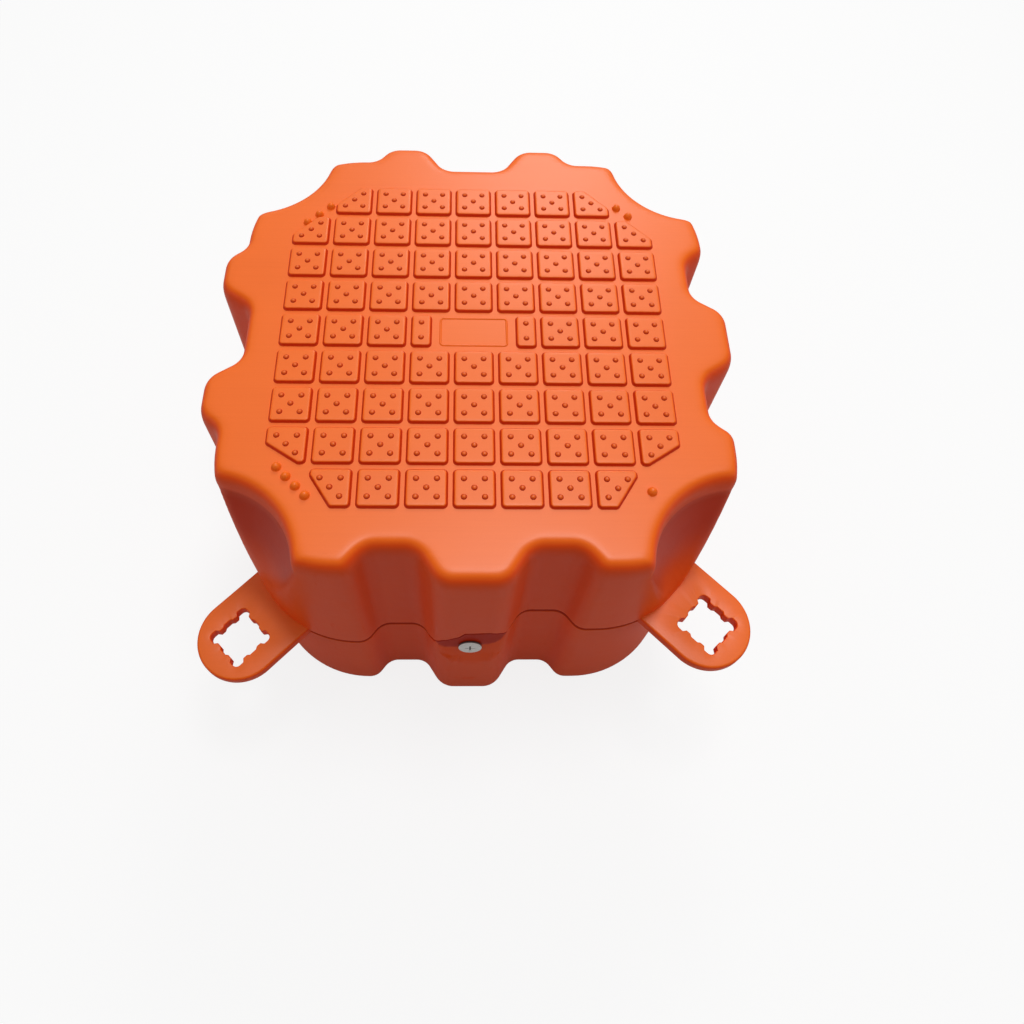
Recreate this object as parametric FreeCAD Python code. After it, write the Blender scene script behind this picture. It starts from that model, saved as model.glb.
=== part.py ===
"""Floating dock cube: one hollow blow-moulded float that pins to its neighbours at 500 mm pitch.

The frame: origin at the middle of the underside, Z up, millimetres. The side with the screw
plug faces -Y. Front and right sides have a lobe in the middle, back and left sides have the
matching trough, so that cubes set side by side mesh. Each corner has a tapered well that is
open at the deck, and below it a lug whose hole is centred on the corner of the 500 mm module.
The four lugs sit at four levels, one lug thickness apart, so that four cubes stack their lugs
on one pin. The raised dots beside each well number that corner's level, from 1 at the top.
"""
import FreeCAD, Part
import math
import os
from FreeCAD import Vector

# Module and overall sizes
MODULE = 500.0
JOINT_GAP = 1.0
DECK_Z = 395.8
WALL = 5.0

# Wavy sides: half the wave's height, and where its slopes start and end along the side
WAVE = 16.5
SHOULDER = 4.0
LOBE_HALF = 32.0
TROUGH_START = 53.5
TROUGH_END = 97.0
SHOULDER_START = 113.0
LOBE_ROUND = 26.0
TROUGH_ROUND = 20.0
SHOULDER_ROUND = 18.0
CORNER_ROUND = 123.0

# The deck edge is rounded in a few straight bands, deeper than they are wide, and the
# underside edge is cut back
RIM_ROUND = 16.0
RIM_DROP = 30.0
RIM_BANDS = 3
FOOT_EDGE = 8.0
INNER_CHAMFER = 13.0

# Corner wells: a cone about the module's corner, narrowest at its foot
WELL_DEPTH = 160.0
WELL_FOOT_R = 46.5
WELL_TAPER = 17.0
WELL_WALL = 8.0

# Lugs
LUG_R = 46.0
LUG_THICK = 15.0
LUG_GAP = 1.0
TOP_LUG_Z = 213.0
LUG_ROOT = 72.0
LUG_CHAMFER = 2.5
HOLE_HALF = 24.0
TOOTH_DEPTH = 3.5
TOOTH_WIDTH = 5.0
TOOTH_OFFSET = 9.0
TOOTH_FLANK = 2.5
RECESS_DEPTH = 1.5
HOLE_CORNER_R = 5.5

# Deck pattern
PAD_COUNT = 9
PAD_PITCH = 44.0
PAD_SIZE = 37.0
PAD_HEIGHT = 2.7
PAD_DRAFT = 1.3
FRONT_CUT = (20.0, 31.0)
BACK_CUT = (25.0, 25.0)
DOT_SIDES = 8
DOT_R = 4.0
DOT_TOP_R = 1.8
DOT_HEIGHT = 4.2
PLATE_SIZE = (69.0, 35.0)
PLATE_CORNER = 4.0
PLATE_RIDGE = 1.6
PLATE_HEIGHT = 0.9

# Underside panel
PANEL_SIZE = 300.0
PANEL_DEPTH = 4.0
PANEL_SLOPE = 8.0
PANEL_CORNER = 34.0

# Plug pocket in the front lobe: its top edge lies a little above the highest lug
POCKET_RISE = 13.0
POCKET_HEIGHT = 94.0
POCKET_HALF = 45.0
POCKET_STEP = 24.0
POCKET_FLANK = 28.0
POCKET_DEPTH = 16.0
POCKET_FOOT_DEPTH = 1.5

# Screw plug and its seal, on the pocket's floor
PLUG_DROP = 56.0
PLUG_HEAD_R = 12.6
PLUG_HEAD = 2.5
PLUG_DOME = 0.8
PLUG_EDGE = 2.4
PLUG_SHANK_R = 9.5
PLUG_LENGTH = 20.0
PLUG_FIT = 0.3
SLOT_LENGTH = 11.0
SLOT_WIDTH = 1.8
SLOT_DEPTH = 1.2
BOSS_R = 15.0
BOSS_LENGTH = 12.0
SEAL_R = 11.2
SEAL_THICK = 1.0
SEAL_FIT = 0.2

# How far tools reach past the faces that they cut, and the smallest length that counts
EMBED = 1.0
TINY = 1e-3

HALF = (MODULE - JOINT_GAP) / 2.0
AXIS_OFFSET = MODULE / 2.0
FRONT_CREST_Y = -(HALF + WAVE)
POCKET_TOP_Z = TOP_LUG_Z + POCKET_RISE
POCKET_FOOT_Z = POCKET_TOP_Z - POCKET_HEIGHT
PLUG_Z = POCKET_TOP_Z - PLUG_DROP
POCKET_SLOPE = (POCKET_DEPTH - POCKET_FOOT_DEPTH) / POCKET_HEIGHT
CORNER_SIGNS = [(-1, -1), (1, -1), (1, 1), (-1, 1)]
LEVELS = {(-1, -1): 4, (1, -1): 1, (1, 1): 2, (-1, 1): 3}

# Middle of each corner's row of dots, and their spacing along the row
DOT_ROWS = {(-1, -1): (-168.5, -169.0, 13.5), (1, -1): (164.0, -178.0, 0.0),
            (1, 1): (166.5, 165.5, 17.0), (-1, 1): (-169.5, 156.0, 16.6)}


def lug_z(corner):
    """Middle height of the lug at a corner, where the mould's parting line also lies."""
    return TOP_LUG_Z - (LEVELS[corner] - 1) * (LUG_THICK + LUG_GAP)


def inset_polygon(corners, inset):
    """Moves each edge of a counter-clockwise polygon inwards, and its roundings with it."""
    moved = []
    count = len(corners)
    for i in range(count):
        before = Vector(*corners[i - 1][:2], 0)
        here = Vector(*corners[i][:2], 0)
        after = Vector(*corners[(i + 1) % count][:2], 0)
        first = (here - before).normalize()
        second = (after - here).normalize()
        turn = first.x * second.y - first.y * second.x
        normal_1 = Vector(-first.y, first.x, 0)
        normal_2 = Vector(-second.y, second.x, 0)
        bisector = (normal_1 + normal_2) / (1.0 + normal_1.dot(normal_2))
        point = here + bisector * inset
        radius = corners[i][2]
        if radius > 0:
            radius = radius - inset if turn > 0 else radius + inset
        moved.append((point.x, point.y, radius))
    return moved


def rounded_wire(corners, z=0.0):
    """A closed wire through the corners (x, y, radius), each rounded by its tangent arc."""
    edges = []
    ends = []
    count = len(corners)
    for i in range(count):
        before = Vector(*corners[i - 1][:2], z)
        here = Vector(*corners[i][:2], z)
        after = Vector(*corners[(i + 1) % count][:2], z)
        radius = corners[i][2]
        if radius <= 0:
            ends.append((here, here, here))
            continue
        back = (before - here).normalize()
        ahead = (after - here).normalize()
        half_angle = back.getAngle(ahead) / 2.0
        reach = radius / math.tan(half_angle)
        bisector = (back + ahead).normalize()
        middle = here + bisector * (radius / math.sin(half_angle) - radius)
        ends.append((here + back * reach, middle, here + ahead * reach))
    for i in range(count):
        start, middle, stop = ends[i]
        following = ends[(i + 1) % count][0]
        if (stop - start).Length > 1e-6:
            edges.append(Part.Arc(start, middle, stop).toShape())
        if (following - stop).Length > 1e-6:
            edges.append(Part.LineSegment(stop, following).toShape())
    return Part.Wire(edges)


def prism(corners, bottom, top):
    """An upright solid over a rounded polygon."""
    face = Part.Face(rounded_wire(corners, bottom))
    return face.extrude(Vector(0, 0, top - bottom))


def square(half, radius):
    """Corners of a rounded square about the middle."""
    return [(-half, -half, radius), (half, -half, radius), (half, half, radius), (-half, half, radius)]


def side_profile(sign):
    """One wavy side from left to right: (along, outwards, rounding). sign is 1 for a lobed side."""
    steps = [
        (-SHOULDER_START, SHOULDER), (-TROUGH_END, -WAVE), (-TROUGH_START, -WAVE), (-LOBE_HALF, WAVE),
        (LOBE_HALF, WAVE), (TROUGH_START, -WAVE), (TROUGH_END, -WAVE), (SHOULDER_START, SHOULDER),
    ]
    stations = []
    for along, wave in steps:
        radius = LOBE_ROUND if sign * wave > 0 else TROUGH_ROUND
        if abs(along) == SHOULDER_START:
            radius = SHOULDER_ROUND
        stations.append((along, HALF + sign * wave, radius))
    return stations


def body_plan():
    """The plan of the float: four wavy sides and four large rounded corners."""
    corners = []
    signs = [1, 1, -1, -1]
    for quarter, sign in enumerate(signs):
        turn = math.radians(90.0 * quarter)
        cos, sin = math.cos(turn), math.sin(turn)
        stations = side_profile(sign)
        following = signs[(quarter + 1) % 4]
        stations.append((HALF + following * SHOULDER, HALF + sign * SHOULDER, CORNER_ROUND))
        for along, out, radius in stations:
            corners.append((along * cos + out * sin, along * sin - out * cos, radius))
    return corners


def rim_profile():
    """Points (inset, up) of the rounded deck edge, from its foot at (0, 0)."""
    points = []
    for i in range(RIM_BANDS + 1):
        angle = math.radians(90.0 * i / RIM_BANDS)
        points.append((RIM_ROUND * (1.0 - math.cos(angle)), RIM_DROP * math.sin(angle)))
    return points


def outer_form(plan):
    """The plan raised to the deck, with its deck edge rounded and its underside edge cut back."""
    levels = [(FOOT_EDGE, 0.0), (0.0, FOOT_EDGE)]
    rim_foot_z = DECK_Z - RIM_DROP
    levels += [(inset, rim_foot_z + up) for inset, up in rim_profile()]
    slices = []
    for below, above in zip(levels, levels[1:]):
        wires = [rounded_wire(inset_polygon(plan, inset), z) for inset, z in (below, above)]
        slices.append(Part.makeLoft(wires, True, True))
    return slices[0].multiFuse(slices[1:]).removeSplitter()


def cone_about_corner(corner, outline):
    """A solid turned about the module corner from an outline of (radius, z) points."""
    points = [Vector(0, 0, outline[0][1])] + [Vector(r, 0, z) for r, z in outline]
    points.append(Vector(0, 0, outline[-1][1]))
    face = Part.Face(Part.makePolygon(points + points[:1]))
    tool = face.revolve(Vector(0, 0, 0), Vector(0, 0, 1), 360)
    tool.translate(Vector(corner[0] * AXIS_OFFSET, corner[1] * AXIS_OFFSET, 0))
    return tool


def well_tool(corner):
    """The space of one corner well: a cone about the module corner with a flared mouth."""
    slope = math.tan(math.radians(WELL_TAPER))
    rim_foot_z = DECK_Z - RIM_DROP
    foot_z = DECK_Z - WELL_DEPTH
    neck_r = WELL_FOOT_R + (rim_foot_z - foot_z) * slope
    outline = [(WELL_FOOT_R, foot_z)]
    for inset, up in rim_profile():
        outline.append((neck_r + inset, rim_foot_z + up))
    outline.append((neck_r + RIM_ROUND, DECK_Z + EMBED))
    return cone_about_corner(corner, outline)


def well_backing(corner):
    """What the hollow leaves solid behind a well, so that the well has a wall."""
    slope = math.tan(math.radians(WELL_TAPER))
    foot_z = DECK_Z - WELL_DEPTH - WELL_WALL
    foot_r = WELL_FOOT_R + WELL_WALL
    top_r = foot_r + (DECK_Z - foot_z) * slope
    return cone_about_corner(corner, [(foot_r, foot_z), (top_r, DECK_Z)])


def hole_outline():
    """The pin hole: a square with rounded corner notches and two teeth on each side."""
    near = TOOTH_OFFSET - TOOTH_WIDTH / 2.0
    far = TOOTH_OFFSET + TOOTH_WIDTH / 2.0
    deep = HOLE_HALF - TOOTH_DEPTH
    shallow = HOLE_HALF - RECESS_DEPTH
    half_side = [
        (near - TOOTH_FLANK, shallow), (near, deep), (far, deep), (far + TOOTH_FLANK, HOLE_HALF),
    ]
    side = [(-s, d, 0.0) for s, d in reversed(half_side)]
    side += [(s, d, 0.0) for s, d in half_side]
    side.append((HOLE_HALF, HOLE_HALF, HOLE_CORNER_R))
    corners = []
    for quarter in range(4):
        turn = math.radians(90.0 * quarter)
        cos, sin = math.cos(turn), math.sin(turn)
        for along, out, radius in side:
            corners.append((along * cos + out * sin, along * sin - out * cos, radius))
    return corners


def lug(corner):
    """One flat lug, pointing out along the diagonal, its hole on the module's corner."""
    low = lug_z(corner) - LUG_THICK / 2.0
    high = low + LUG_THICK
    edges = [
        Part.LineSegment(Vector(-LUG_ROOT, -LUG_R, low), Vector(0, -LUG_R, low)).toShape(),
        Part.Arc(Vector(0, -LUG_R, low), Vector(LUG_R, 0, low), Vector(0, LUG_R, low)).toShape(),
        Part.LineSegment(Vector(0, LUG_R, low), Vector(-LUG_ROOT, LUG_R, low)).toShape(),
        Part.LineSegment(Vector(-LUG_ROOT, LUG_R, low), Vector(-LUG_ROOT, -LUG_R, low)).toShape(),
    ]
    plate = Part.Face(Part.Wire(edges)).extrude(Vector(0, 0, LUG_THICK))
    outer = []
    for edge in plate.Edges:
        box = edge.BoundBox
        if box.ZLength < TINY and box.XMax > -LUG_ROOT + TINY:
            outer.append(edge)
    plate = plate.makeChamfer(LUG_CHAMFER, outer)
    plate = plate.cut(prism(hole_outline(), low - EMBED, high + EMBED))
    turn = math.degrees(math.atan2(corner[1], corner[0]))
    plate.rotate(Vector(0, 0, 0), Vector(0, 0, 1), turn)
    plate.translate(Vector(corner[0] * AXIS_OFFSET, corner[1] * AXIS_OFFSET, 0))
    return plate


def cavity(plan):
    """The hollow inside: the plan one wall further in, with plain waves, clear of the wells."""
    corners = []
    for x, y, radius in inset_polygon(plan, WALL):
        corners.append((x, y, radius if radius > LOBE_ROUND + TROUGH_ROUND else 0.0))
    inside = prism(corners, WALL, DECK_Z - WALL)
    ends = []
    for edge in inside.Edges:
        if edge.BoundBox.ZLength < TINY:
            ends.append(edge)
    inside = inside.makeChamfer(INNER_CHAMFER, ends)
    for corner in CORNER_SIGNS:
        inside = inside.cut(well_backing(corner))
    return inside


def underside_panel(depth, grow):
    """The shallow panel that stiffens the underside, deeper and wider by a wall for the inside."""
    half = PANEL_SIZE / 2.0 + grow
    top_half = half - PANEL_SLOPE
    base = square(half, PANEL_CORNER)
    top = square(top_half, PANEL_CORNER - PANEL_SLOPE)
    wires = [rounded_wire(base, depth - PANEL_DEPTH), rounded_wire(top, depth)]
    return Part.makeLoft(wires, True, True)


def pocket_floor(z):
    """Depth of the pocket's sloping floor behind the front lobe's crest."""
    return POCKET_FOOT_DEPTH + (z - POCKET_FOOT_Z) * POCKET_SLOPE


def pocket_tool():
    """The recess round the plug: deepest under its top edge, which follows the parting line."""
    y = FRONT_CREST_Y - EMBED
    start = Vector(-POCKET_HALF, y, lug_z(CORNER_SIGNS[0]))
    top_left = Vector(-POCKET_STEP, y, POCKET_TOP_Z)
    top_right = Vector(POCKET_HALF, y, POCKET_TOP_Z)
    flank_z = POCKET_FOOT_Z + POCKET_FLANK
    flank_right = Vector(POCKET_HALF, y, flank_z)
    flank_left = Vector(-POCKET_HALF, y, flank_z)
    edges = [
        Part.LineSegment(start, top_left).toShape(),
        Part.LineSegment(top_left, top_right).toShape(),
        Part.LineSegment(top_right, flank_right).toShape(),
        Part.Arc(flank_right, Vector(0, y, POCKET_FOOT_Z), flank_left).toShape(),
        Part.LineSegment(flank_left, start).toShape(),
    ]
    front = Part.Face(Part.Wire(edges)).extrude(Vector(0, POCKET_DEPTH + 2 * EMBED, 0))
    side = [(y, POCKET_FOOT_Z), (FRONT_CREST_Y + POCKET_FOOT_DEPTH, POCKET_FOOT_Z),
            (FRONT_CREST_Y + POCKET_DEPTH, POCKET_TOP_Z), (y, POCKET_TOP_Z)]
    points = [Vector(-POCKET_HALF, side_y, z) for side_y, z in side]
    slab = Part.Face(Part.makePolygon(points + points[:1])).extrude(Vector(2 * POCKET_HALF, 0, 0))
    return front.common(slab)


def pocket_backing():
    """Keeps a full wall behind the plug pocket."""
    backing = pocket_tool()
    backing.translate(Vector(0, WALL + EMBED, 0))
    return backing


def plug_frame(shape):
    """Puts a shape made along +Z about the origin on the pocket's floor, pointing outwards."""
    tilt = math.degrees(math.atan(POCKET_SLOPE))
    shape.rotate(Vector(0, 0, 0), Vector(1, 0, 0), 90.0 - tilt)
    shape.translate(Vector(0, FRONT_CREST_Y + pocket_floor(PLUG_Z), PLUG_Z))
    return shape


def disc(radius, bottom, top):
    """A plain disc along Z."""
    return Part.makeCylinder(radius, top - bottom, Vector(0, 0, bottom))


def deck_pad(x, y, cut_corner=None, cut=None, half=None):
    """One raised tread pad with drafted flanks. A corner can be cut away, or half the pad kept."""
    left, right = -PAD_SIZE / 2.0, PAD_SIZE / 2.0
    if half == "left":
        right = 0.0
    if half == "right":
        left = 0.0
    front, back = -PAD_SIZE / 2.0, PAD_SIZE / 2.0
    corners = []
    for sx, sy in CORNER_SIGNS:
        edge_x = right if sx > 0 else left
        edge_y = back if sy > 0 else front
        if cut_corner != (sx, sy):
            corners.append((edge_x, edge_y))
            continue
        on_x = (edge_x - sx * cut[0], edge_y)
        on_y = (edge_x, edge_y - sy * cut[1])
        corners += [on_y, on_x] if sx == sy else [on_x, on_y]
    corners = [(px + x, py + y, 0.0) for px, py in corners]
    foot = rounded_wire(corners, DECK_Z - EMBED)
    top = rounded_wire(inset_polygon(corners, PAD_DRAFT), DECK_Z + PAD_HEIGHT)
    return Part.makeLoft([foot, top], True, True)


def deck_pads():
    """Nine by nine pads, without the corner four, with room for the plate in the middle."""
    last = (PAD_COUNT - 1) // 2
    pads = []
    for column in range(-last, last + 1):
        for row in range(-last, last + 1):
            x, y = column * PAD_PITCH, row * PAD_PITCH
            corner = (1 if column > 0 else -1, 1 if row > 0 else -1)
            cut_x, cut_y = FRONT_CUT if row < 0 else BACK_CUT
            if abs(column) == last and abs(row) == last or (column, row) == (0, 0):
                continue
            if row == 0 and abs(column) == 1:
                pads.append(deck_pad(x, y, half="right" if column > 0 else "left"))
            elif abs(column) == last - 1 and abs(row) == last:
                pads.append(deck_pad(x, y, corner, (cut_x, cut_y)))
            elif abs(column) == last and abs(row) == last - 1:
                pads.append(deck_pad(x, y, corner, (cut_y, cut_x)))
            else:
                pads.append(deck_pad(x, y))
    return pads


def ring_of_points(x, y, z, radius, sides):
    """A closed wire with equal straight sides about (x, y)."""
    points = []
    for i in range(sides):
        angle = 2.0 * math.pi * i / sides
        points.append(Vector(x + radius * math.cos(angle), y + radius * math.sin(angle), z))
    return Part.makePolygon(points + points[:1])


def level_dots():
    """Raised dots beside each well, as many as the number of that corner's lug level."""
    dots = []
    for corner in CORNER_SIGNS:
        number = LEVELS[corner]
        middle_x, middle_y, pitch = DOT_ROWS[corner]
        for i in range(number):
            shift = (i - (number - 1) / 2.0) * pitch / math.sqrt(2.0)
            x = middle_x + corner[0] * shift
            y = middle_y - corner[1] * shift
            foot = ring_of_points(x, y, DECK_Z - EMBED, DOT_R, DOT_SIDES)
            top = ring_of_points(x, y, DECK_Z + DOT_HEIGHT, DOT_TOP_R, DOT_SIDES)
            dots.append(Part.makeLoft([foot, top], True, True))
    return dots


def label_plate():
    """The thin raised frame of the plain plate in the middle of the deck."""
    half_x, half_y = PLATE_SIZE[0] / 2.0, PLATE_SIZE[1] / 2.0
    outer = [(-half_x, -half_y, PLATE_CORNER), (half_x, -half_y, PLATE_CORNER),
             (half_x, half_y, PLATE_CORNER), (-half_x, half_y, PLATE_CORNER)]
    ring = prism(outer, DECK_Z - EMBED, DECK_Z + PLATE_HEIGHT)
    return ring.cut(prism(inset_polygon(outer, PLATE_RIDGE), DECK_Z - 2 * EMBED, DECK_Z + 2 * EMBED))


def float_body():
    """The whole moulding: a hollow shell with its lugs, deck pattern and plug pocket."""
    plan = body_plan()
    body = outer_form(plan)
    for corner in CORNER_SIGNS:
        body = body.cut(well_tool(corner))
    body = body.cut(underside_panel(PANEL_DEPTH, 0.0))
    body = body.cut(pocket_tool())
    hollow = cavity(plan).cut(underside_panel(PANEL_DEPTH + WALL, WALL))
    hollow = hollow.cut(plug_frame(disc(BOSS_R, -BOSS_LENGTH, -EMBED)))
    hollow = hollow.cut(pocket_backing())
    for corner in CORNER_SIGNS:
        body = body.fuse(lug(corner))
    body = body.cut(hollow)
    plug_hole = disc(PLUG_SHANK_R + PLUG_FIT, -(BOSS_LENGTH + EMBED), PLUG_HEAD + SEAL_THICK)
    body = body.cut(plug_frame(plug_hole))
    body = body.multiFuse(deck_pads() + level_dots() + [label_plate()])
    return body.removeSplitter()


def vent_plug():
    """The screw plug: a low domed head with a cross slot, and a shank through the wall."""
    top_z = SEAL_THICK + PLUG_HEAD
    shoulder_z = top_z - PLUG_DOME
    head = disc(PLUG_HEAD_R, SEAL_THICK, shoulder_z)
    top = Part.makeCone(PLUG_HEAD_R, PLUG_HEAD_R - PLUG_EDGE, PLUG_DOME, Vector(0, 0, shoulder_z))
    shank = disc(PLUG_SHANK_R, SEAL_THICK - PLUG_LENGTH, SEAL_THICK)
    plug = head.fuse(top).fuse(shank)
    for turn in (0.0, 90.0):
        slot = Part.makeBox(SLOT_LENGTH, SLOT_WIDTH, SLOT_DEPTH + EMBED,
                            Vector(-SLOT_LENGTH / 2.0, -SLOT_WIDTH / 2.0, top_z - SLOT_DEPTH))
        slot.rotate(Vector(0, 0, 0), Vector(0, 0, 1), turn)
        plug = plug.cut(slot)
    return plug_frame(plug.removeSplitter())


def plug_seal():
    """The flat ring that seals the plug's head against the pocket floor."""
    bore = disc(PLUG_SHANK_R + SEAL_FIT, -EMBED, SEAL_THICK + EMBED)
    return plug_frame(disc(SEAL_R, 0.0, SEAL_THICK).cut(bore))


def main():
    os.makedirs("parts", exist_ok=True)
    nodes = {"float_body": float_body(), "vent_plug": vent_plug(), "plug_seal": plug_seal()}
    for name, shape in nodes.items():
        if len(shape.Solids) == 1:
            shape = shape.Solids[0]
        box = shape.BoundBox
        corners = [box.XMin, box.YMin, box.ZMin, box.XMax, box.YMax, box.ZMax]
        print(name, "solids", len(shape.Solids), "valid", shape.isValid())
        print("volume", round(shape.Volume), "box", [round(value, 2) for value in corners])
        shape.exportStep("parts/%s.step" % name)


main()
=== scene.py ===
"""Looks of the floating dock cube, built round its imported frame.

The moulded float is one closed skin of rings about its vertical axis. Every ring follows the wavy
plan, moved in by the ring's inset, and bends in to each corner well where the well is nearer.
The lugs, tread pads, pad bumps, level dots and label frame are raised on that skin.
Lengths are in millimetres until a mesh is made, which is in metres.
"""
import math

import bpy
import numpy as np
from mathutils import Matrix, Vector

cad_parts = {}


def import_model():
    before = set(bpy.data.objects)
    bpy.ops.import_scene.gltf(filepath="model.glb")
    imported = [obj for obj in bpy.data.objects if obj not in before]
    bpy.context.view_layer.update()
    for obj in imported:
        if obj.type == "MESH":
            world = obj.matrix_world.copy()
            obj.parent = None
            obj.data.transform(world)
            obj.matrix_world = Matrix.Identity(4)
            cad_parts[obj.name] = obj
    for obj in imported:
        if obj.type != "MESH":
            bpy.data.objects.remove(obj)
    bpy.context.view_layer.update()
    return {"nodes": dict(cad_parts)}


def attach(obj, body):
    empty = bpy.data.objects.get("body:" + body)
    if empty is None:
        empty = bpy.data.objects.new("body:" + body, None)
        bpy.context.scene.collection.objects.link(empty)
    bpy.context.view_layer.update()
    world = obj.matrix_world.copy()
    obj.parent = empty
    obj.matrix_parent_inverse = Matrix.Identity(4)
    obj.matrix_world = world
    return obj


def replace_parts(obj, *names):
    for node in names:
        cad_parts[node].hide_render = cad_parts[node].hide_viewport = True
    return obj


MM = 0.001
TINY = 1e-6

# Module and overall sizes
MODULE = 500.0
JOINT_GAP = 1.0
DECK_Z = 394.6
AXIS_OFFSET = MODULE / 2.0
HALF = (MODULE - JOINT_GAP) / 2.0

# Wavy sides
WAVE = 16.5
SHOULDER = 4.0
LOBE_HALF = 32.0
TROUGH_START = 53.5
TROUGH_END = 97.0
SHOULDER_START = 113.0
LOBE_ROUND = 26.0
TROUGH_ROUND = 20.0
SHOULDER_ROUND = 18.0
CORNER_ROUND = 123.0
FRONT_CREST_Y = -(HALF + WAVE)

# Roundings of the skin. A rim fullness of 2 would be a plain quarter ellipse.
RIM_ROUND = 16.0
RIM_DROP = 30.0
RIM_FULLNESS = 3.2
WALL_TOP_Z = DECK_Z - RIM_DROP
FOOT_ROUND = 10.0
LIP_SOFTNESS = 9.0

# Corner wells
WELL_DEPTH = 160.0
WELL_FOOT_R = 46.5
WELL_TAPER = 17.0

# Lugs and their toothed holes
LUG_R = 45.9
LUG_THICK = 15.0
LUG_STEP = 16.0
TOP_LUG_Z = 213.0
LUG_ROOT = 72.0
LUG_EDGE = 3.0
HOLE_HALF = 24.0
HOLE_EDGE = 1.2
TOOTH_DEPTH = 3.5
TOOTH_WIDTH = 5.0
TOOTH_OFFSET = 9.0
TOOTH_FLANK = 2.5
TOOTH_ROUND = 0.9
NOTCH_DEPTH = 1.5
HOLE_CORNER_R = 5.5

# Each corner's side along x and y, and its number of level dots
CORNERS = {"front_left": (-1, -1, 4), "front_right": (1, -1, 1), "back_right": (1, 1, 2),
           "back_left": (-1, 1, 3)}
# Middle of each corner's row of dots, and their spacing along the row
DOT_ROWS = {"front_left": (-168.5, -169.0, 13.5), "front_right": (164.0, -178.0, 0.0),
            "back_right": (166.5, 165.5, 17.0), "back_left": (-169.5, 156.0, 16.6)}

# Parting line: a groove whose rings are shares of its depth and half width, and how deep each one's painted
# shade is
SEAM_HALF = 3.7
SEAM_DEPTH = 4.0
GROOVE_RINGS = ((0.3, 0.9, 0.8), (1.0, 0.7, 1.0), (0.9, -0.3, 1.0), (0.2, -0.85, 0.8))
# Its height across the front lobe, where it is the pocket's top edge
LEDGE_FIRST_X = -45.0
LEDGE_ACROSS = (-39.0, -30.0, -20.0, -12.5, -6.5, 20.0, 30.0)
LEDGE_Z = (177.0, 204.0, 219.0, 225.0, 237.0, 240.0, 230.0)
LEDGE_LAST_X = 38.0

# Plug pocket: its floor leans back from the foot to the top, and fades out into the wall
POCKET_TOP_Z = TOP_LUG_Z + 13.0
POCKET_FOOT_Z = POCKET_TOP_Z - 94.0
POCKET_HALF = 45.0
POCKET_FLANK = 28.0
POCKET_DEPTH = 16.0
POCKET_FOOT_DEPTH = 1.5
POCKET_SOFTNESS = 4.0
POCKET_FADE = 5.0
POCKET_MARGIN = 8.0

# Painted shade in the recess above the plug: its foot's height across the lobe, and how it fades out
RECESS_ACROSS = (-41.0, -34.0, -28.0, -13.0, 0.0, 13.0, 20.0, 27.0, 33.0, 39.0, 43.0)
RECESS_FOOT_Z = (188.0, 170.0, 165.0, 165.0, 168.0, 171.0, 172.0, 176.0, 184.0, 203.0, 225.0)
RECESS_RISE = 4.0
RECESS_SIDE_FADE = 0.12

# The plug's face, as a level along its inward direction, and where the painted shade in its slots starts and
# is full
PLUG_INWARD = (0.0, 0.9883, -0.1524)
PLUG_FACE = -285.04
SLOT_SHADE = (0.85, 1.15)

# Underside panel: rings as an inset from its outline and a height
PANEL_HALF = 150.0
PANEL_DEPTH = 4.0
PANEL_SLOPE = 8.0
PANEL_CORNER = 34.0
PANEL_CORNER_LEAST = 4.0
PANEL_PROFILE = ((-1.5, 0.0), (0.5, 0.3), (PANEL_SLOPE - 1.0, PANEL_DEPTH - 0.4),
                 (PANEL_SLOPE + 1.5, PANEL_DEPTH), (0.6 * PANEL_HALF, PANEL_DEPTH))

# Tread pads and the cut corners of the outer ones
PAD_COUNT = 9
PAD_PITCH = 44.0
PAD_SIZE = 37.0
PAD_HEIGHT = 3.4
PAD_CORNER = 3.2
PAD_PROFILE = ((-1.7, -0.3), (-1.5, 0.05), (-1.0, 0.4), (-0.5, 1.2), (-0.1, 2.3), (0.4, 3.0),
               (1.0, 3.3), (1.9, PAD_HEIGHT), (4.0, PAD_HEIGHT))
FRONT_CUT = (20.0, 31.0)
BACK_CUT = (25.0, 25.0)

# Domes: the pads' grip bumps and the level dots, with the shares of radius and height of their foot
BUMP_SPREAD = (9.6, 9.2)
BUMP_R = 2.7
BUMP_HEIGHT = 2.0
DOT_R = 4.4
DOT_HEIGHT = 5.4
DOME_FOOT = ((1.18, -0.12), (1.1, 0.02))
DOME_START = 0.12

# Plate in the middle of the deck
PLATE_SIZE = (69.0, 35.0)
PLATE_CORNER = 4.0
PLATE_RIDGE = 1.6
PLATE_HEIGHT = 0.9
PLATE_PROFILE = ((-0.5, -0.3), (-0.4, 0.02), (0.1, 0.55), (0.45, PLATE_HEIGHT),
                 (PLATE_RIDGE - 0.45, PLATE_HEIGHT), (PLATE_RIDGE - 0.1, 0.55),
                 (PLATE_RIDGE + 0.4, 0.02), (PLATE_RIDGE + 0.5, -0.3))

# How deep the painted shade is where light hardly reaches, from 0 to 1
RECESS_SHADE = 0.8
PAD_SHADE = 0.7
BUMP_SHADE = 0.95
WELL_SHADE = 0.7
# The wells' painted shade grows between these shares of their depth, and fades out at the lip and the rim
WELL_SHADE_REACH = (0.9, 0.4)
WELL_LIP = 2.0
WELL_LIP_FADE = 3.0
WELL_RIM = 8.0
WELL_RIM_FADE = 12.0

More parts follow.
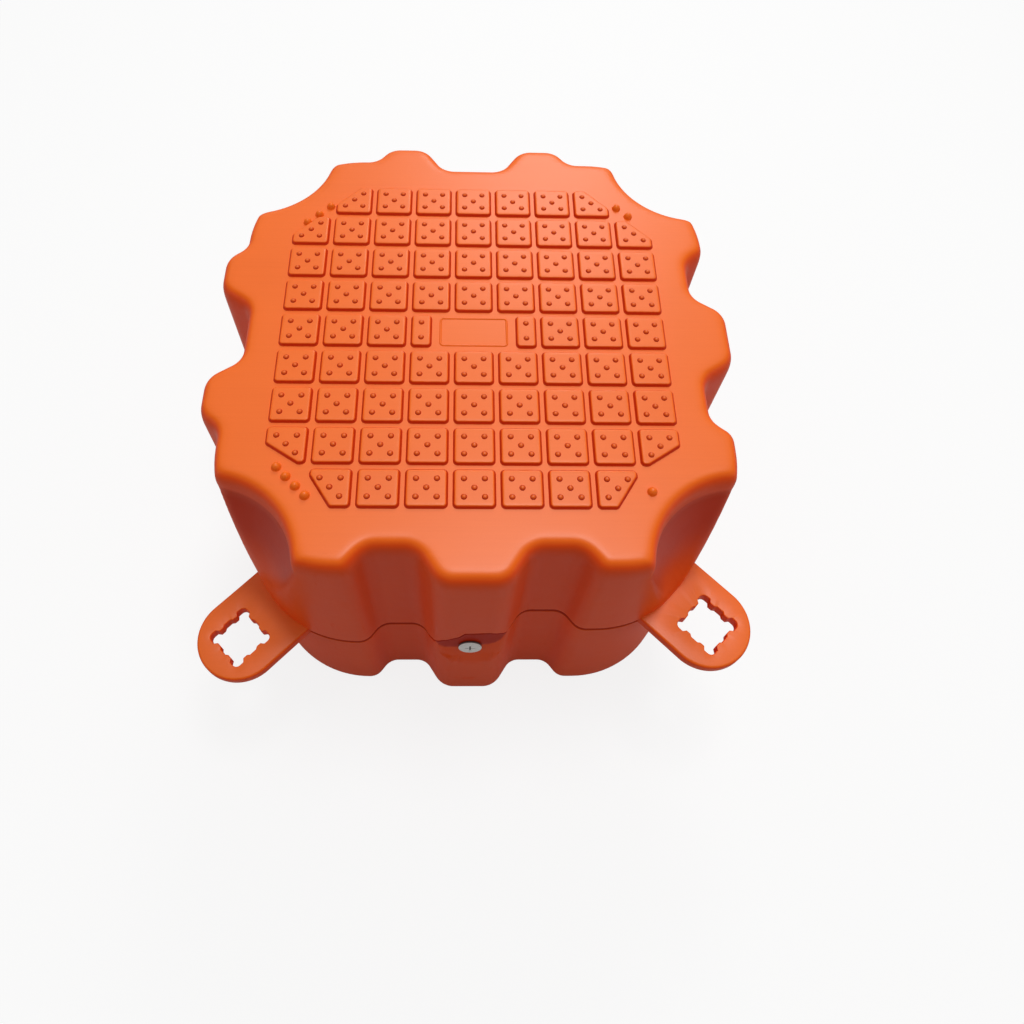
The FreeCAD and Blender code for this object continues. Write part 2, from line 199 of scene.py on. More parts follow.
# Colours, each pair a darker and a lighter tone
SIDE_TONES = ((0.85, 0.062, 0.002, 1.0), (0.96, 0.098, 0.006, 1.0))
# A paler copy of the side tones for faces that face upwards: painted sheen
SHEEN_TONES = ((0.80, 0.124, 0.005, 1.0), (0.95, 0.170, 0.014, 1.0))
# Painted shade, mixed into the orange where the deep_shade attribute is set
PAINTED_SHADE_TONE = (0.42, 0.006, 0.001, 1.0)
PLUG_CLEAN = (0.96, 0.94, 0.90, 1.0)
PLUG_DIRTY = (0.66, 0.59, 0.53, 1.0)
# Painted shade down in the plug's slots
SLOT_SHADE_TONE = (0.12, 0.11, 0.10, 1.0)
RUBBER_TONES = ((0.012, 0.012, 0.012, 1.0), (0.035, 0.034, 0.032, 1.0))

# Painted sheen: the moulding pales from its side colour over this span of the upward normal, and its deck is
# glossier
SIDE_SHEEN_FROM = 0.55
RAISED_SHEEN_FROM = -0.2
SHEEN_SPAN = 0.42
DECK_FACING = (0.90, 0.985)
DECK_COAT = 0.5
ORANGE_ROUGHNESS = 0.36
ORANGE_SPECULAR = 0.14

# Floor and sky. The floor glows white to the camera, and little to the satin walls.
FLOOR_PALE = (0.90, 0.90, 0.89, 1.0)
FLOOR_GREY = (0.50, 0.50, 0.50, 1.0)
FLOOR_GLOW = 0.84
MIRRORED_GLOW = 0.08
FLOOR_REACH = 9.0
FLOOR_Z = -0.0006
SKY_TOWARD = (0.10, 0.30, 0.95)
SKY_SPAN = (-0.2, 1.0)
SKY_LEVELS = (0.26, 0.54)

# Lamps: name, place in metres, width in metres, power
LAMPS = (("overhead", (0.25, 0.3, 2.95), 0.9, 30.0), ("back_panel", (0.35, 2.1, 2.2), 0.9, 22.0),
         ("left_strip", (-2.0, -0.7, 0.5), 0.5, 2.2), ("right_strip", (2.0, -0.7, 0.5), 0.5, 2.2))
LAMP_TARGET = (0.0, 0.0, 0.3)

# Camera, fitted to the even grid of tread pads: lens and image centre in pixels, directions and place
IMAGE_PX = 1024.0
FOCAL_PX = 867.5
CENTRE_PX = (483.7, 412.0)
CAMERA_RIGHT = (0.99946, -0.00895, 0.03161)
CAMERA_DOWN = (0.00816, -0.86439, -0.50276)
CAMERA_FORWARD = (0.03182, 0.50275, -0.86385)
CAMERA_PLACE = (-17.34, -514.78, 1117.38)

# How finely the meshes are divided
COLUMNS = 740
POCKET_COLUMNS = 70
LUG_COLUMNS = 420
DECK_SHARES = (0.3, 0.6, 0.85, 0.96)
RIM_STEPS = 16
WALL_STEPS = 24
FOOT_STEPS = 6
# Rings below the parting line: close together over the recess and the plug, then further apart
FINE_REACH = 0.36
FINE_RINGS = 34
COARSE_START = 0.4
COARSE_RINGS = 15


class Socket:
    """One output of a node, with arithmetic that adds Math nodes."""

    def __init__(self, sheet, link):
        self.sheet = sheet
        self.link = link

    def math(self, operation, first, second):
        return self.sheet.node("ShaderNodeMath", {"operation": operation}, {0: first, 1: second})

    def __add__(self, other):
        return self.math("ADD", self, other)

    def __radd__(self, other):
        return self.math("ADD", other, self)

    def __sub__(self, other):
        return self.math("SUBTRACT", self, other)

    def __rsub__(self, other):
        return self.math("SUBTRACT", other, self)

    def __mul__(self, other):
        return self.math("MULTIPLY", self, other)


class Sheet:
    """The node tree of a material or of the world."""

    def __init__(self, owner):
        owner.use_nodes = True
        self.owner = owner
        self.tree = owner.node_tree
        self.tree.nodes.clear()

    def node(self, kind, settings, inputs, output=0):
        """Adds a node: its settings first, then the values or links of its sockets."""
        made = self.tree.nodes.new(kind)
        for key, value in settings.items():
            if key == "stops":
                self.stops(made.color_ramp, value)
            else:
                setattr(made, key, value)
        for key, value in inputs.items():
            self.feed(made.inputs[key], value)
        return Socket(self, made.outputs[output])

    def feed(self, socket, value):
        """Links a socket to another node's output, or sets its value."""
        if isinstance(value, Socket):
            self.tree.links.new(value.link, socket)
        else:
            socket.default_value = value

    def stops(self, ramp, stops):
        """Sets the places and colours of a ramp."""
        while len(ramp.elements) < len(stops):
            ramp.elements.new(1.0)
        for element, (place, colour) in zip(ramp.elements, stops):
            element.position = place
            element.color = colour

    def place(self, stretch=(1.0, 1.0, 1.0), turn=(0.0, 0.0, 0.0)):
        """Position on the object, in metres, stretched and turned."""
        here = self.node("ShaderNodeTexCoord", {}, {}, "Object")
        return self.node("ShaderNodeMapping", {}, {"Vector": here, "Rotation": turn, "Scale": stretch})

    def noise(self, scale, detail=2.0, roughness=0.5, vector=None):
        """Noise from 0 to 1, of so many cells a metre unless the vector is stretched."""
        inputs = {"Vector": vector or self.place(), "Scale": scale, "Detail": detail,
                  "Roughness": roughness}
        return self.node("ShaderNodeTexNoise", {}, inputs, "Fac")

    def rise(self, value, low, high):
        """Rises evenly from 0 where the value is low to 1 where it is high."""
        stops = [(low, (0.0, 0.0, 0.0, 1.0)), (high, (1.0, 1.0, 1.0, 1.0))]
        return self.node("ShaderNodeValToRGB", {"stops": stops}, {"Fac": value})

    def map_range(self, value, span, levels=(0.0, 1.0)):
        """Maps a span of the value to a span of levels."""
        inputs = {"Value": value, "From Min": span[0], "From Max": span[1],
                  "To Min": levels[0], "To Max": levels[1]}
        return self.node("ShaderNodeMapRange", {}, inputs)

    def dot(self, vector, direction):
        """How far a vector reaches along a direction."""
        inputs = {0: vector, 1: direction}
        return self.node("ShaderNodeVectorMath", {"operation": "DOT_PRODUCT"}, inputs, "Value")

    def mix_colour(self, factor, first, second):
        """The first colour where the factor is 0, the second where it is 1."""
        inputs = {"Factor": factor, 6: first, 7: second}
        return self.node("ShaderNodeMix", {"data_type": "RGBA"}, inputs, 2)

    def bump(self, height, distance, strength=1.0, normal=None):
        """A normal bent by a height, on top of another such normal if one is given."""
        inputs = {"Height": height, "Distance": distance, "Strength": strength}
        if normal is not None:
            inputs["Normal"] = normal
        return self.node("ShaderNodeBump", {}, inputs)

    def finish(self, shader, output="ShaderNodeOutputMaterial"):
        """Puts the shader on the surface, and gives the material or world."""
        out = self.tree.nodes.new(output)
        self.feed(out.inputs["Surface"], shader)
        return self.owner

    def principled(self, inputs):
        """A finished material of one Principled shader with these inputs."""
        return self.finish(self.node("ShaderNodeBsdfPrincipled", {}, inputs))


def new_sheet(name):
    """The empty node tree of a new material."""
    return Sheet(bpy.data.materials.new(name))


def orange_polyethylene(name, sheen_from):
    """Satin moulded polyethylene: orange, paler on top from a painted sheen, faintly cloudy, with fine grain
    and scratches.

    The second argument is the upward normal from which the painted sheen starts to pale the side colour.
    """
    sheet = new_sheet(name)
    cloud = sheet.noise(9.0, 3.0)
    speck = sheet.noise(900.0, 1.0)
    scratch_place = sheet.place((30.0, 900.0, 30.0), (0.0, 0.0, 0.6))
    scratches = sheet.rise(sheet.noise(1.0, 3.0, 0.6, scratch_place), 0.60, 0.75)
    worn = sheet.rise(sheet.noise(14.0, 2.0), 0.45, 0.65)
    marks = scratches * worn
    brushed = sheet.noise(1.0, 2.0, 0.5, sheet.place((9.0, 520.0, 9.0)))
    shade = cloud * 0.5 + speck * 0.25 + brushed * 0.25
    side = sheet.mix_colour(shade, *SIDE_TONES)
    # The paler copy is painted sheen, mixed in on faces that face upwards
    sheen_tone = sheet.mix_colour(shade, *SHEEN_TONES)
    facing = sheet.node("ShaderNodeTexCoord", {}, {}, "Normal")
    upward = sheet.node("ShaderNodeSeparateXYZ", {}, {"Vector": facing}, "Z")
    colour = sheet.mix_colour(sheet.rise(upward, sheen_from, sheen_from + SHEEN_SPAN), side, sheen_tone)
    deck = sheet.rise(upward, *DECK_FACING)
    # Painted shade: where the deep_shade attribute is set, the colour is mixed towards a dark red
    deep = sheet.node("ShaderNodeAttribute", {"attribute_name": "deep_shade"}, {}, "Fac")
    grain = sheet.noise(1400.0, 2.0)
    ripple = sheet.bump(sheet.noise(60.0, 2.0), 0.0008, 0.25)
    return sheet.principled({
        "Base Color": sheet.mix_colour(deep, colour, PAINTED_SHADE_TONE),
        "Roughness": ORANGE_ROUGHNESS + cloud * 0.10 + marks * 0.12,
        "Normal": sheet.bump(grain - marks * 0.4, 0.00012, 0.5, ripple),
        "IOR": 1.5, "Specular IOR Level": ORANGE_SPECULAR,
        "Coat Weight": deck * DECK_COAT, "Coat Roughness": ORANGE_ROUGHNESS,
    })


def white_plug_plastic():
    """Off-white plastic of the screw plug, a little dirty, with painted shade down in its slots."""
    sheet = new_sheet("white_plug_plastic")
    dirt = sheet.rise(sheet.noise(260.0, 3.0), 0.45, 0.75)
    colour = sheet.mix_colour(dirt * 0.35, PLUG_CLEAN, PLUG_DIRTY)
    level = sheet.dot(sheet.node("ShaderNodeTexCoord", {}, {}, "Object"), PLUG_INWARD)
    # Painted shade in the slots: darker the deeper a point lies behind the plug's face
    slot_shade = sheet.map_range(level, [(PLUG_FACE + depth) * MM for depth in SLOT_SHADE])
    return sheet.principled({
        "Base Color": sheet.mix_colour(slot_shade, colour, SLOT_SHADE_TONE),
        "Roughness": 0.45 + dirt * 0.2,
        "Normal": sheet.bump(sheet.noise(1500.0, 1.0), 0.0001, 0.4),
    })


def black_rubber():
    """Rubber of the plug's seal."""
    sheet = new_sheet("black_rubber")
    bloom = sheet.noise(500.0, 2.0)
    return sheet.principled({
        "Base Color": sheet.mix_colour(bloom, *RUBBER_TONES),
        "Roughness": 0.75 + bloom * 0.1,
        "Normal": sheet.bump(bloom, 0.0001, 0.5),
    })


def unit(vector):
    """The vector scaled to a length of 1."""
    return vector / np.hypot(*vector)


def corner_points(corners, i):
    """Corner i of a polygon between the corner before it and the one after it, as flat points."""
    return [np.array(corners[(i + k) % len(corners)][:2]) for k in (-1, 0, 1)]


def inset_corners(corners, inset):
    """Moves each edge of a counter-clockwise polygon inwards, and its roundings with it."""
    moved = []
    for i in range(len(corners)):
        before, here, after = corner_points(corners, i)
        first = unit(here - before)
        second = unit(after - here)
        turn = first[0] * second[1] - first[1] * second[0]
        normals = np.array([[-first[1], first[0]], [-second[1], second[0]]])
        point = here + normals.sum(0) / (1.0 + normals[0] @ normals[1]) * inset
        radius = corners[i][2] - inset * np.sign(turn)
        moved.append((point[0], point[1], max(radius, 0.01)))
    return moved


def corner_arcs(corners):
    """Centre, radius, start angle and turn of each rounded corner of a polygon."""
    arcs = []
    for i in range(len(corners)):
        before, here, after = corner_points(corners, i)
        back = unit(before - here)
        ahead = unit(after - here)
        half_angle = math.acos(back @ ahead) / 2.0
        radius = corners[i][2]
        centre = here + unit(back + ahead) * radius / math.sin(half_angle)
        start = here + back * radius / math.tan(half_angle) - centre
        side = np.sign(ahead[0] * back[1] - ahead[1] * back[0])
        arcs.append((centre, radius, math.atan2(start[1], start[0]), side * (math.pi - 2.0 * half_angle)))
    return arcs


def arc_points(arcs, steps):
    """The same number of points on each arc, joined into one ring of (x, y)."""
    share = np.linspace(0.0, 1.0, steps + 1)
    ring = []
    for centre, radius, start, turn in arcs:
        angle = start + turn * share
        ring.append(np.stack([centre[0] + radius * np.cos(angle), centre[1] + radius * np.sin(angle)], 1))
    return np.concatenate(ring)


def spread(ring, count):
    """Points of a closed ring at even steps along it."""
    closed = np.vstack([ring, ring[:1]])
    along = np.concatenate([[0.0], np.cumsum(np.hypot(*np.diff(closed, axis=0).T))])
    places = np.linspace(0.0, along[-1], count, endpoint=False)
    return np.stack([np.interp(places, along, closed[:, k]) for k in (0, 1)], 1)


def polar(corners, theta, arc_steps=24, samples=6000):
    """Distance from the middle to a rounded polygon, in each direction theta."""
    ring = spread(arc_points(corner_arcs(corners), arc_steps), samples)
    angle = np.arctan2(ring[:, 1], ring[:, 0])
    order = np.argsort(angle)
    return np.interp(theta, angle[order], np.hypot(*ring.T)[order], period=2.0 * math.pi)


def smooth_min(first, second, softness):
    """The lower of two, with the edge between them rounded off."""
    near = np.clip(softness - np.abs(first - second), 0.0, None) / softness
    return np.minimum(first, second) - near * near * softness / 4.0


def smooth_step(low, high, value):
    """Rises from 0 where the value is low to 1 where it is high, level at both ends."""
    share = np.clip((value - low) / (high - low), 0.0, 1.0)
    return share * share * (3.0 - 2.0 * share)


def quarter_steps(count):
    """Angles of a quarter turn, from 0 to 90 degrees."""
    return [math.pi / 2.0 * i / count for i in range(count + 1)]


def mesh_piece(name, vertices, faces, material, sharp_angle=40.0):
    """A smooth shaded mesh from millimetre points, riding on the body."""
    mesh = bpy.data.meshes.new(name)
    mesh.from_pydata([tuple(v) for v in np.asarray(vertices) * MM], [], faces)
    mesh.validate()
    mesh.shade_smooth()
    mesh.set_sharp_from_angle(angle=math.radians(sharp_angle))
    mesh.materials.append(material)
    piece = bpy.data.objects.new(name, mesh)
    bpy.context.scene.collection.objects.link(piece)
    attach(piece, "root")
    return piece


def mark_deep(piece, shades):
    """Stores how deep the painted shade is at each vertex, which the orange material reads."""
    piece.data.attributes.new("deep_shade", "FLOAT", "POINT").data.foreach_set("value", shades)
    return piece


def ring_faces(rings, columns, start=0, closed=False):
    """Quads between successive rings of equal size. closed joins the last ring to the first."""
    faces = []
    for i in range(rings if closed else rings - 1):
        low = start + i * columns
        high = start + (i + 1) % rings * columns
        for j in range(columns):
            k = (j + 1) % columns
            faces.append((low + j, low + k, high + k, high + j))
    return faces


def capped_rings(rings, first_centre, last_centre):
    """Vertices and faces of a closed skin of rings with a centre point at either end."""
    columns = len(rings[0])
    vertices = np.vstack([[first_centre]] + list(rings) + [[last_centre]])
    faces = ring_faces(len(rings), columns, 1)
    last = len(vertices) - 1
    foot = last - columns
    for j in range(columns):
        k = (j + 1) % columns
        faces.append((0, 1 + k, 1 + j))
        faces.append((last, foot + j, foot + k))
    return vertices, faces


def gathered(parts):
    """Joins several (vertices, faces) into one."""
    vertices, faces, count = [], [], 0
    for points, quads in parts:
        vertices.append(points)
        faces += [tuple(v + count for v in quad) for quad in quads]
        count += len(points)
    return np.vstack(vertices), faces


def side_profile(sign):
    """One wavy side from left to right: (along, outwards, rounding). sign is 1 for a lobed side."""
    steps = [
        (-SHOULDER_START, SHOULDER), (-TROUGH_END, -WAVE), (-TROUGH_START, -WAVE), (-LOBE_HALF, WAVE),
        (LOBE_HALF, WAVE), (TROUGH_START, -WAVE), (TROUGH_END, -WAVE), (SHOULDER_START, SHOULDER),
    ]
    stations = []
    for along, wave in steps:
        radius = LOBE_ROUND if sign * wave > 0 else TROUGH_ROUND
        if abs(along) == SHOULDER_START:
            radius = SHOULDER_ROUND
        stations.append((along, HALF + sign * wave, radius))
    return stations


def quarter_turns(side_of):
    """Repeats a side of (along, outwards, rounding) stations four times round the middle."""
    corners = []
    for quarter in range(4):
        turn = math.radians(90.0 * quarter)
        cos, sin = math.cos(turn), math.sin(turn)
        for along, out, radius in side_of(quarter):
            corners.append((along * cos + out * sin, along * sin - out * cos, radius))
    return corners


def plan_corners():
    """The plan: lobed front and right sides, back and left sides that mesh with them."""
    signs = [1, 1, -1, -1]

    def side(quarter):
        sign = signs[quarter]
        following = signs[(quarter + 1) % 4]
        return side_profile(sign) + [(HALF + following * SHOULDER, HALF + sign * SHOULDER, CORNER_ROUND)]

    return quarter_turns(side)


def square_corners(half, radius):
    """A square with rounded corners about the middle."""
    return quarter_turns(lambda quarter: [(half, half, radius)])


def well_radius(z):
    """Radius of the wells' cones at a height."""
    return WELL_FOOT_R + (z - DECK_Z + WELL_DEPTH) * math.tan(math.radians(WELL_TAPER))


def well_distance(theta, radius):
    """Distance from the middle to the nearest well's round wall, far off where a ray misses it."""
    away = np.abs((theta % (math.pi / 2.0)) - math.pi / 4.0)
    reach = AXIS_OFFSET * math.sqrt(2.0)
    inside = radius ** 2 - (reach * np.sin(away)) ** 2
    hit = reach * np.cos(away) - np.sqrt(np.clip(inside, 0.0, None))
    return np.where(inside > 0.0, hit, MODULE)


def lug_height(corner):
    """Height of the middle of a corner's lug."""
    return TOP_LUG_Z - (corner[2] - 1) * LUG_STEP


class Skin:
    """Works out the float's rings on a fixed set of directions about its middle."""

    def __init__(self):
        self.corners = plan_corners()
        ring = spread(arc_points(corner_arcs(self.corners), 24), COLUMNS)
        across = np.linspace(-POCKET_HALF, POCKET_HALF, POCKET_COLUMNS)
        pocket = np.stack([across, np.full(POCKET_COLUMNS, FRONT_CREST_Y)], 1)
        ring = np.concatenate([ring, pocket])
        self.theta = np.unique(np.arctan2(ring[:, 1], ring[:, 0]))
        self.plans = {}

    def plan(self, inset):
        """Distance to the wavy plan, moved in by the inset. Each is worked out once."""
        if inset not in self.plans:
            self.plans[inset] = polar(inset_corners(self.corners, inset), self.theta)
        return self.plans[inset]

    def ring(self, inset, z, share=1.0):
        """One ring of points at height z, inset from the plan and from the wells.

        The wells go straight up from where the rim's rounding starts.
        """
        z = np.broadcast_to(np.asarray(z, float), self.theta.shape)
        radius = well_radius(np.minimum(z, WALL_TOP_Z)) + inset
        rho = smooth_min(self.plan(inset), well_distance(self.theta, radius), LIP_SOFTNESS)
        return self.points(rho * share, z)

    def points(self, rho, z):
        """Points at a distance rho from the middle and at height z."""
        z = np.broadcast_to(np.asarray(z, float), self.theta.shape)
        return np.stack([rho * np.cos(self.theta), rho * np.sin(self.theta), z], 1)

    def seam_height(self):
        """Height of the parting line in each direction: level at the corners, stepped between."""
        base = self.ring(0.0, POCKET_FOOT_Z)
        x, y = base[:, 0], base[:, 1]
        level = {name: lug_height(corner) for name, corner in CORNERS.items()}
        step = [-LOBE_HALF, LOBE_HALF]
        front = np.interp(x, (LEDGE_FIRST_X,) + LEDGE_ACROSS + (LEDGE_LAST_X,),
                          (level["front_left"],) + LEDGE_Z + (level["front_right"],))
        right = np.interp(y, step, [level["front_right"], level["back_right"]])
        back = np.interp(x, step, [level["back_left"], level["back_right"]])
        left = np.interp(y, step, [level["front_left"], level["back_left"]])
        return np.where(np.abs(y) > np.abs(x), np.where(y < 0, front, back), np.where(x > 0, right, left))


def rim_rings(skin):
    """Rings over the deck and round its rim, from the middle out and down to the wall."""
    rings = [skin.ring(RIM_ROUND, DECK_Z, share) for share in DECK_SHARES]
    power = 2.0 / RIM_FULLNESS
    for angle in reversed(quarter_steps(RIM_STEPS)):
        inset = RIM_ROUND * (1.0 - abs(math.cos(angle)) ** power)
        rings.append(skin.ring(inset, WALL_TOP_Z + RIM_DROP * math.sin(angle) ** power))
    return rings


def upper_wall_rings(skin, seam):
    """Rings from the rim down to the parting line."""
    drop = seam + SEAM_HALF - WALL_TOP_Z
    return [skin.ring(0.0, WALL_TOP_Z + drop * share) for share in np.linspace(0.0, 1.0, WALL_STEPS + 1)[1:]]


def groove_rings(skin, seam):
    """Rings of the parting line's groove, and how deep each one's painted shade is."""
    rings = [skin.ring(SEAM_DEPTH * depth, seam + SEAM_HALF * rise) for depth, rise, shade in GROOVE_RINGS]
    shades = [np.full(len(skin.theta), shade) for depth, rise, shade in GROOVE_RINGS]
    return rings, shades


def pocket_pressed(ring):
    """Presses the part of a ring in the plug pocket back to the pocket's floor.

    Also gives how deep the painted shade is at each point, in the recess under the pocket's top edge.
    """
    x, y, z = ring.T
    bow = (x / POCKET_HALF) ** 2
    recess = smooth_step(0.0, RECESS_RISE, z - np.interp(x, RECESS_ACROSS, RECESS_FOOT_Z))
    recess *= smooth_step(0.0, RECESS_SIDE_FADE, 1.0 - bow)
    slope = (POCKET_DEPTH - POCKET_FOOT_DEPTH) / (POCKET_TOP_Z - POCKET_FOOT_Z)
    depth = POCKET_FOOT_DEPTH + (z - POCKET_FOOT_Z) * slope
    inside = smooth_step(0.0, POCKET_FADE, z - POCKET_FOOT_Z - POCKET_FLANK * bow)
    inside *= (np.abs(x) < POCKET_HALF + POCKET_MARGIN) * (y < 0)
    pressed = -smooth_min(-y, -(FRONT_CREST_Y + depth), POCKET_SOFTNESS)
    return np.stack([x, y + (pressed - y) * inside, z], 1), RECESS_SHADE * recess * inside


def lower_wall_rings(skin, seam):
    """Rings from the parting line down to the foot's rounding, and how deep each one's painted shade is."""
    below = seam - SEAM_HALF
    fine = np.linspace(0.0, FINE_REACH, FINE_RINGS)
    coarse = np.linspace(COARSE_START, 1.0, COARSE_RINGS)
    rings, shades = [], []
    for share in np.concatenate([fine, coarse]):
        ring, shade = pocket_pressed(skin.ring(0.0, below + (FOOT_ROUND - below) * share))
        rings.append(ring)
        shades.append(shade)
    return rings, shades


def foot_rings(skin):
    """Rings round the foot's edge and in to the shallow panel underneath."""
    rings = []
    for angle in quarter_steps(FOOT_STEPS)[1:]:
        inset = FOOT_ROUND * (1.0 - math.cos(angle))
        rings.append(skin.ring(inset, FOOT_ROUND * (1.0 - math.sin(angle))))
    for inset, up in PANEL_PROFILE:
        outline = square_corners(PANEL_HALF - inset, max(PANEL_CORNER - inset, PANEL_CORNER_LEAST))
        rings.append(skin.points(polar(outline, skin.theta), up))
    return rings


def well_shade(points):
    """How deep the painted shade is in a corner well: most high up in the middle, none outside."""
    x, y, z = np.asarray(points).T
    away = np.hypot(AXIS_OFFSET - np.abs(x), AXIS_OFFSET - np.abs(y))
    inside = smooth_step(-WELL_LIP_FADE, WELL_LIP_FADE, well_radius(z) + WELL_LIP - away)
    low, high = [DECK_Z - share * WELL_DEPTH for share in WELL_SHADE_REACH]
    below_rim = smooth_step(0.0, WELL_RIM_FADE, WALL_TOP_Z + WELL_RIM - z)
    return WELL_SHADE * inside * smooth_step(low, high, z) * below_rim


def float_skin(material):
    """The whole outside of the moulding, from the middle of the deck to the middle underneath."""
    skin = Skin()
    seam = skin.seam_height()
    upper = rim_rings(skin) + upper_wall_rings(skin, seam)
    groove, groove_shades = groove_rings(skin, seam)
    lower, lower_shades = lower_wall_rings(skin, seam)
    rings = upper + groove + lower + foot_rings(skin)
    vertices, faces = capped_rings(rings, (0.0, 0.0, DECK_Z), (0.0, 0.0, PANEL_DEPTH))
    piece = mesh_piece("float_skin", vertices, [face[::-1] for face in faces], material)
    marked = np.concatenate(groove_shades + lower_shades)
    first = 1 + len(upper) * len(skin.theta)
    shades = well_shade(vertices)
    shades[first:first + len(marked)] = np.maximum(shades[first:first + len(marked)], marked)
    mark_deep(piece, shades)
    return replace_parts(piece, "float_body")


def hole_corners():
    """The pin hole: a square with rounded corner notches and two teeth on each side."""
    near = TOOTH_OFFSET - TOOTH_WIDTH / 2.0
    far = TOOTH_OFFSET + TOOTH_WIDTH / 2.0
    deep = HOLE_HALF - TOOTH_DEPTH
    half_side = [
        (near - TOOTH_FLANK, HOLE_HALF - NOTCH_DEPTH), (near, deep), (far, deep),
        (far + TOOTH_FLANK, HOLE_HALF),
    ]
    side = [(-s, d, TOOTH_ROUND) for s, d in reversed(half_side)]
    side += [(s, d, TOOTH_ROUND) for s, d in half_side]
    side.append((HOLE_HALF, HOLE_HALF, HOLE_CORNER_R))
    return quarter_turns(lambda quarter: side)


def lug_outline(phi):
    """Distance from the hole's middle to the lug's edge: a round end, straight sides, a square root."""
    across = LUG_R / np.maximum(np.abs(np.sin(phi)), TINY)
    root = LUG_ROOT / np.maximum(-np.cos(phi), TINY)
    return np.where(np.cos(phi) >= 0.0, LUG_R, np.minimum(across, root))


def lug_profile():
    """Rings of a lug as (share from hole to edge, shift outwards, height), round its section."""
    half = LUG_THICK / 2.0
    profile = [(0.0, HOLE_EDGE * (1.0 - math.cos(a)), half - HOLE_EDGE * (1.0 - math.sin(a)))
               for a in quarter_steps(3)]
    profile += [(0.5, 0.0, half)]
    profile += [(1.0, -LUG_EDGE * (1.0 - math.sin(a)), half - LUG_EDGE * (1.0 - math.cos(a)))
                for a in quarter_steps(5)]
    return profile + [(share, shift, -height) for share, shift, height in reversed(profile)]


def lug(name, corner, material):
    """One lug, its hole centred on the module's corner, its edges rounded."""
    phi = np.linspace(0.0, 2.0 * math.pi, LUG_COLUMNS, endpoint=False)
    hole = polar(hole_corners(), phi, 6)
    edge = lug_outline(phi)
    turn = math.atan2(corner[1], corner[0])
    rings = []
    for share, shift, height in lug_profile():
        rho = hole + (edge - hole) * share + shift
        x = rho * np.cos(phi + turn) + corner[0] * AXIS_OFFSET
        y = rho * np.sin(phi + turn) + corner[1] * AXIS_OFFSET
        rings.append(np.stack([x, y, np.full(phi.shape, lug_height(corner) + height)], 1))
    faces = ring_faces(len(rings), LUG_COLUMNS, closed=True)
    return mesh_piece("lug_" + name, np.vstack(rings), faces, material)


def pad_corners(x, y, cut_corner=None, cut=None, half=None):
    """Outline of a tread pad: a rounded square, one with a cut corner, or one half of it."""
    left, right = -PAD_SIZE / 2.0, PAD_SIZE / 2.0
    if half == "left":
        right = 0.0
    if half == "right":
        left = 0.0
    corners = []
    for sx, sy in [(-1, -1), (1, -1), (1, 1), (-1, 1)]:
        edge_x = x + (right if sx > 0 else left)
        edge_y = y + sy * PAD_SIZE / 2.0
        if cut_corner != (sx, sy):
            corners.append((edge_x, edge_y, PAD_CORNER))
            continue
        on_x = (edge_x - sx * cut[0], edge_y, PAD_CORNER)
        on_y = (edge_x, edge_y - sy * cut[1], PAD_CORNER)
        corners += [on_y, on_x] if sx == sy else [on_x, on_y]
    return corners


def pad_plan():
    """Every tread pad as (x, y, outline, bumps), with each bump's side of the pad along x and y."""
    last = (PAD_COUNT - 1) // 2
    pads = []
    for column in range(-last, last + 1):
        for row in range(-last, last + 1):
            x, y = column * PAD_PITCH, row * PAD_PITCH
            corner = (1 if column > 0 else -1, 1 if row > 0 else -1)
            cut_x, cut_y = FRONT_CUT if row < 0 else BACK_CUT
            if abs(column) == last and abs(row) == last or (column, row) == (0, 0):
                continue
            bumps = [(sx, sy) for sx in (-1, 0, 1) for sy in (-1, 0, 1) if abs(sx) == abs(sy)]
            if row == 0 and abs(column) == 1:
                side = "right" if column > 0 else "left"
                outline = pad_corners(x, y, half=side)
                bumps = [(corner[0], sy) for sy in (-1, 1)]
            elif abs(column) == last - 1 and abs(row) == last:
                outline = pad_corners(x, y, corner, (cut_x, cut_y))
                bumps.remove(corner)
            elif abs(column) == last and abs(row) == last - 1:
                outline = pad_corners(x, y, corner, (cut_y, cut_x))
                bumps.remove(corner)
            else:
                outline = pad_corners(x, y)
            pads.append((x, y, outline, bumps))
    return pads


def profile_rings(corners, profile, steps):
    """Rings on the deck at each (inset from the outline, height) of a profile."""
    rings = []
    for inset, height in profile:
        flat = arc_points(corner_arcs(inset_corners(corners, inset)), steps)
        rings.append(np.hstack([flat, np.full((len(flat), 1), DECK_Z + height)]))
    return rings


def pad_form(outline):
    """One closed tread pad."""
    rings = profile_rings(outline, PAD_PROFILE, 5)
    return capped_rings(rings, rings[0].mean(0), rings[-1].mean(0))


def shade_foot(piece, low_z, high_z, most):
    """Marks a piece's painted shade by height, from most at low_z to none at high_z."""
    points = np.empty(len(piece.data.vertices) * 3)
    piece.data.vertices.foreach_get("co", points)
    return mark_deep(piece, most * (1.0 - smooth_step(low_z, high_z, points[2::3] / MM)))


def tread_pads(material):
    """The raised pads, soft at their top edges and flared where they meet the deck, with painted shade on
    their flanks.
    """
    parts = [pad_form(outline) for x, y, outline, bumps in pad_plan()]
    piece = mesh_piece("tread_pads", *gathered(parts), material, 60.0)
    return shade_foot(piece, DECK_Z + 0.6 * PAD_HEIGHT, DECK_Z + PAD_HEIGHT, PAD_SHADE)


def dome(x, y, z, radius, height, sides, levels):
    """A low round dome with a small flare at its foot."""
    rings = []
    angle = np.linspace(0.0, 2.0 * math.pi, sides, endpoint=False)
    profile = list(DOME_FOOT)
    for step in range(levels):
        lift = math.pi / 2.0 * (DOME_START + (1.0 - DOME_START) * step / levels)
        profile.append((math.cos(lift), math.sin(lift)))
    for share, up in profile:
        ring = [x + radius * share * np.cos(angle), y + radius * share * np.sin(angle),
                np.full(sides, z + height * up)]
        rings.append(np.stack(ring, 1))
    return capped_rings(rings, (x, y, z + height * DOME_FOOT[0][1]), (x, y, z + height))


